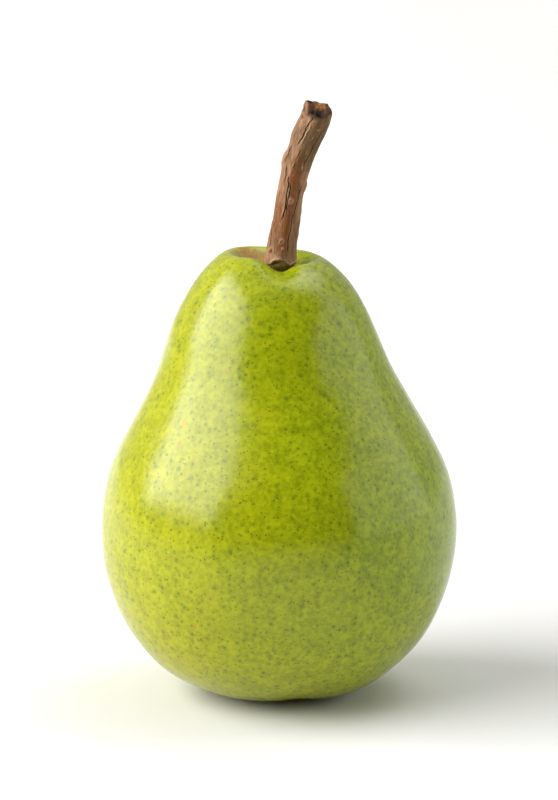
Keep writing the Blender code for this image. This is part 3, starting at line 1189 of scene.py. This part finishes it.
    def _warts(self, bark: Bark) -> None:
        """Raises the scars, some with a pit in the middle that is painted dark as shade."""
        for wart in self.warts:
            knob, pit = wart.shares(bark)
            small = min(1.0, 0.5 * MM / wart.radius)
            bark.rise += wart.rise * (knob - 0.8 * pit)
            bark.stain(Mark.PALE, 0.45 * small * knob * (1.0 - pit))
            bark.stain(Mark.WARM, 0.8 * small * knob)
            # Painted shade: each pit goes dark.
            bark.stain(Mark.SPLIT, 0.5 * pit)

    def _stripes(self, bark: Bark) -> None:
        """Stains the warm orange-brown stripes and the shaded top along the stem."""
        long_grain = bark.places * np.array([1.0, 1.0, 0.3])
        stir = self.stripe_stir * rough(long_grain, 1.0 * MM, seed=4.0)
        for stripe in self.stripes:
            stripe.stain(bark, stir)


@dataclass
class DriedFlower:
    """The dried sepals and stamens in the basin under the fruit."""

    sepals: int = 5
    crinkle_size: float = 1.2 * MM
    crinkle: float = 0.25 * MM
    stamens: int = 16
    stamen_length: float = 3.0 * MM
    stamen_radius: float = 0.11 * MM
    stamen_sides: int = 10
    stamen_rings: int = 14
    stamen_turn: float = 0.381966
    nearest: float = 0.45
    spread: float = 0.4
    head_width: float = 2.2
    head_place: float = 0.88
    head_length: float = 0.10
    wave_reach: float = 0.35 * MM
    wave_rate: float = 2.6
    lean: float = 0.5 * MM
    sunk: float = 0.1 * MM

    def build(self, dry: bpy.types.Material) -> None:
        """Builds every part of the flower.

        Args:
            dry: The dried tissue's material.
        """
        for number in range(1, self.sepals + 1):
            node = f"sepal_{number}"
            piece = Bench.refined_copy(node, f"pear_{node}", levels=2)
            Bench.displace(piece, self.crinkle_size, self.crinkle, depth=2)
            piece.data.materials.append(dry)
            Bench.hand_in(piece, Slot.DRY, node)
        self._tuft(dry)

    def _tuft(self, dry: bpy.types.Material) -> None:
        """Builds the stamens that stand on the basin's floor."""
        low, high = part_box("stamen_tuft")
        filaments = [self._filament(number, low, high) for number in range(self.stamens)]
        Bench.only(filaments[0])
        for filament in filaments:
            filament.select_set(True)
        bpy.ops.object.join()
        piece = bpy.context.object
        piece.name = "pear_stamens"
        piece.data.materials.clear()
        piece.data.materials.append(dry)
        Bench.hand_in(piece, Slot.DRY, "stamen_tuft")

    def _filament(self, number: int, low: Vector, high: Vector) -> bpy.types.Object:
        """Models one dried stamen: a thin bent stalk with a shrivelled head.

        Args:
            number: Its place in the ring.
            low: The lowest corner of the tuft's box.
            high: The highest corner of the tuft's box.

        Returns:
            The stamen.
        """
        bpy.ops.object.select_all(action="DESELECT")
        bpy.ops.mesh.primitive_cylinder_add(
            vertices=self.stamen_sides, radius=self.stamen_radius, depth=self.stamen_length
        )
        stalk = bpy.context.object
        for vertex in stalk.data.vertices:
            vertex.co.z -= 0.5 * self.stamen_length
        with Bench.editing(stalk):
            for ring in range(1, self.stamen_rings):
                height = -self.stamen_length * ring / self.stamen_rings
                bpy.ops.mesh.select_all(action="SELECT")
                bpy.ops.mesh.bisect(plane_co=(0.0, 0.0, height), plane_no=(0.0, 0.0, 1.0))
        turn = math.tau * (number * self.stamen_turn)
        ring = (high.x - low.x) / 2.0 * (self.nearest + self.spread * (number % 3) / 2.0)
        for vertex in stalk.data.vertices:
            down = -vertex.co.z / self.stamen_length
            head = 1.0 + self.head_width * bell(down - self.head_place, self.head_length)
            wave = self.wave_reach * math.sin(self.wave_rate * down + number)
            out = ring + self.lean * down * down
            side = Vector((math.cos(turn), math.sin(turn), 0.0))
            across = Vector((-side.y, side.x, 0.0))
            x, y = vertex.co.x * head, vertex.co.y * head
            spot = side * (out + x) + across * (y + wave)
            vertex.co = (spot.x, spot.y, high.z - self.sunk + vertex.co.z)
        with Bench.editing(stalk):
            bpy.ops.mesh.select_all(action="SELECT")
            bpy.ops.mesh.normals_make_consistent(inside=False)
            bpy.ops.mesh.faces_shade_smooth()
        return stalk


@dataclass(frozen=True)
class Softbox:
    """A flat, soft-edged light that faces the pear from far away.

    Its azimuth runs from the front towards the right, and both angles are in degrees. Its half
    width, half height and edge are tangents of the angles that they fill, and falloff says how
    much it dims along its width.
    """

    azimuth: float
    elevation: float
    half_width: float
    half_height: float
    radiance: float
    edge: float
    falloff: float = 0.0
    least_facing: float = 0.01

    def glow(self, g: Graph, direction: bpy.types.NodeSocket) -> bpy.types.NodeSocket:
        """Adds the nodes that give this light's radiance in a direction.

        Args:
            g: The world's graph.
            direction: The direction looked in.

        Returns:
            The radiance.
        """
        a, e = math.radians(self.azimuth), math.radians(self.elevation)
        front = (math.sin(a) * math.cos(e), -math.cos(a) * math.cos(e), math.sin(e))
        right = (math.cos(a), math.sin(a), 0.0)
        up = (-math.sin(a) * math.sin(e), math.cos(a) * math.sin(e), math.cos(e))
        ahead, across, above = (
            g.vector("DOT_PRODUCT", direction, axis) for axis in (front, right, up)
        )
        facing = g.math("MAXIMUM", ahead, self.least_facing)
        x = g.math("DIVIDE", across, facing)
        y = g.math("DIVIDE", above, facing)
        bands = [self._band(g, x, self.half_width), self._band(g, y, self.half_height)]
        inside = g.math("MULTIPLY", *bands)
        in_front = g.math("GREATER_THAN", ahead, 2.0 * self.least_facing)
        shown = g.math("MULTIPLY", inside, in_front)
        level = g.math("MULTIPLY_ADD", x, -self.falloff * self.radiance, self.radiance)
        return g.math("MULTIPLY", shown, level)

    def _band(self, g: Graph, place: bpy.types.NodeSocket, half: float) -> bpy.types.NodeSocket:
        """Masks a soft-edged band round 0."""
        away = g.math("ABSOLUTE", place)
        return g.step(away, half + self.edge / 2.0, half - self.edge / 2.0)


@dataclass
class Studio:
    """The floor, the light and the camera."""

    floor_size: float = 16.0
    # Floor greys that paint light and shade: the right, a lit left and a shaded front.
    painted_floor_greys: tuple[float, float, float] = (0.64, 0.88, 0.40)
    painted_light_edge: Span = (300.0 * MM, -300.0 * MM)
    painted_shade_edge: Span = (-60.0 * MM, -420.0 * MM)
    aim: tuple[float, float, float] = (0.0, 0.0, 58.4 * MM)
    elevation: float = 10.0
    distance: float = 0.5229
    lens: float = 120.0
    front_glow: float = 0.02
    back_glow: float = 0.48
    back_edge: Span = (-0.1, 0.7)
    top_glow: float = 0.60
    top_edge: Span = (0.75, 1.0)
    backdrop: Colour = (0.80, 0.80, 0.80)
    warmth: Colour = (1.0, 0.99, 0.965)
    softboxes: tuple[Softbox, ...] = (
        Softbox(-75.0, 34.0, 0.60, 0.41, 6.9, edge=0.22, falloff=0.35),
        Softbox(125.0, 60.0, 0.36, 0.30, 2.6, edge=0.30),
        Softbox(86.0, 8.0, 0.62, 0.62, 1.60, edge=0.16),
    )

    def build(self) -> None:
        """Sets up the whole studio."""
        self._floor()
        self._world()
        self._camera()
        bpy.context.scene.view_settings.view_transform = "Standard"

    def _floor(self) -> None:
        """Adds the floor with painted light and shade: pale on the left, greyer on the right and
        darker at the front.
        """
        bpy.ops.object.select_all(action="DESELECT")
        bpy.ops.mesh.primitive_plane_add(size=self.floor_size)
        floor = bpy.context.object
        floor.name = "floor"
        material, g, shader = shaded("pale_floor")
        place = g.add("ShaderNodeTexCoord").outputs["Object"]
        axis = g.add("ShaderNodeSeparateXYZ", Vector=place).outputs
        # Painted light towards the left and painted shade towards the front.
        left = g.step(axis["X"], *self.painted_light_edge)
        front = g.step(axis["Y"], *self.painted_shade_edge)
        right_grey, painted_light_grey, painted_shade_grey = ((shade,) * 3 for shade in self.painted_floor_greys)
        pale = g.mix(left, right_grey, painted_light_grey)
        g.feed(shader.inputs["Base Color"], g.mix(front, pale, painted_shade_grey))
        shader.inputs["Roughness"].default_value = 0.95
        shader.inputs["Specular IOR Level"].default_value = 0.05
        floor.data.materials.append(material)

    def _world(self) -> None:
        """Lights the room with its softboxes, a dim front, and a brighter back and top."""
        world = bpy.data.worlds.new("room")
        world.use_nodes = True
        g = Graph(world.node_tree)
        direction = g.add("ShaderNodeTexCoord").outputs["Generated"]
        axis = g.add("ShaderNodeSeparateXYZ", Vector=direction).outputs
        back = g.math("MULTIPLY", g.step(axis["Y"], *self.back_edge), self.back_glow)
        top = g.math("MULTIPLY", g.step(axis["Z"], *self.top_edge), self.top_glow)
        total = g.math("ADD", g.math("ADD", back, top), self.front_glow)
        for box in self.softboxes:
            total = g.math("ADD", total, box.glow(g, direction))
        light = g.scaled(self.warmth, total)
        seen = g.add("ShaderNodeLightPath").outputs["Is Camera Ray"]
        background = world.node_tree.nodes["Background"]
        g.feed(background.inputs["Color"], g.mix(seen, light, self.backdrop))
        bpy.context.scene.world = world

    def _camera(self) -> None:
        """Adds the camera."""
        data = bpy.data.cameras.new("camera")
        data.lens = self.lens
        camera = bpy.data.objects.new("camera", data)
        bpy.context.scene.collection.objects.link(camera)
        e = math.radians(self.elevation)
        back = Vector((0.0, -math.cos(e), math.sin(e)))
        camera.location = Vector(self.aim) + back * self.distance
        camera.rotation_euler = (-back).to_track_quat("-Z", "Y").to_euler()
        bpy.context.scene.camera = camera


def main() -> None:
    """Builds the pear's looks round the frame."""
    logging.basicConfig(level=logging.INFO, format="%(message)s")
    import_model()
    effects = Effects()
    Studio().build()
    Fruit().build(SkinFinish().material(effects))
    Stem().build(BarkFinish().material(effects))
    DriedFlower().build(DryFinish().material(effects))


if __name__ == "__main__":
    main()
